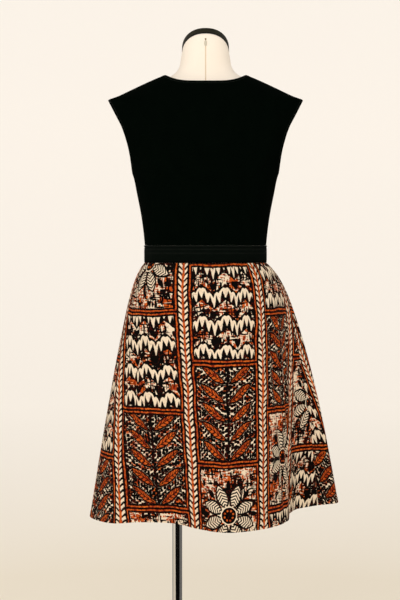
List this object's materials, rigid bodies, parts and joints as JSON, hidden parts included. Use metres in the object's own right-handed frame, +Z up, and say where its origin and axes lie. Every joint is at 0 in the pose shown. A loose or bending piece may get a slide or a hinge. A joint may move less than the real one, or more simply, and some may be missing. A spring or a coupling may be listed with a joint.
{
  "type": "reversible dress on a limbless dress form",
  "caption": "Cap-sleeved dress with a plain knit bodice, wide elastic waistband and gathered A-line printed skirt, worn by a limbless dress form on a pole and round base.",
  "frame": {"origin": "centre of the round base's underside, on the floor, straight below the form's neck", "axes": "+Z up; the form's front faces +Y and its back, the pictured side, faces -Y; +X is to the right as seen from behind"},
  "size_m": [0.5687, 0.4229, 1.5137],
  "materials": {
    "bodice_knit": "matt black double knit",
    "waist_elastic": "charcoal ribbed elastic",
    "skirt_cotton": "printed plain weave cotton in rust, cream and black",
    "form_canvas": "off-white canvas stretched over the form",
    "cap_black": "satin black",
    "plate_board": "black stained board",
    "pole_chrome": "polished",
    "stand_steel": "satin"
  },
  "bodies": {
    "root": {"bodice_back": "bodice_knit", "bodice_front": "bodice_knit", "waistband": "waist_elastic", "skirt_back": "skirt_cotton", "skirt_front": "skirt_cotton", "form_torso": "form_canvas", "neck_cap": "cap_black", "torso_plate": "plate_board", "pole_collar": "stand_steel", "pole": "pole_chrome", "base_socket": "stand_steel", "base_plate": "stand_steel"}
  },
  "joints": []
}
